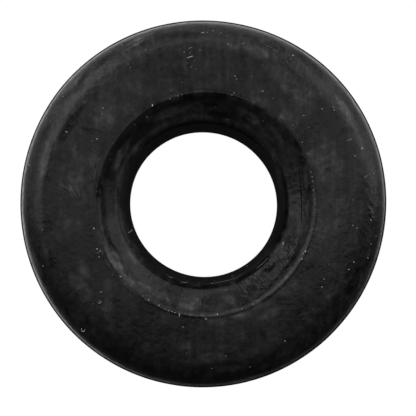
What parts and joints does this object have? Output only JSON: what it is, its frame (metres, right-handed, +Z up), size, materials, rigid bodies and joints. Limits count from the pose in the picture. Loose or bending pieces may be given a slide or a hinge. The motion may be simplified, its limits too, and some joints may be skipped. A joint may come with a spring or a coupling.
{
  "type": "rubber grommet",
  "caption": "Round rubber grommet with two round-shouldered flanges, a panel groove between them and a dished bore that guides a cable or hose.",
  "frame": {"origin": "on the bore's axis, level with the flat ring of the lower face", "axes": "+Z up the bore's axis, square to both faces"},
  "size_m": [0.0364, 0.0364, 0.014],
  "materials": {
    "rubber": "matte moulded black rubber with a faint bloom and dust"
  },
  "bodies": {
    "root": {"grommet": "rubber"}
  },
  "joints": []
}
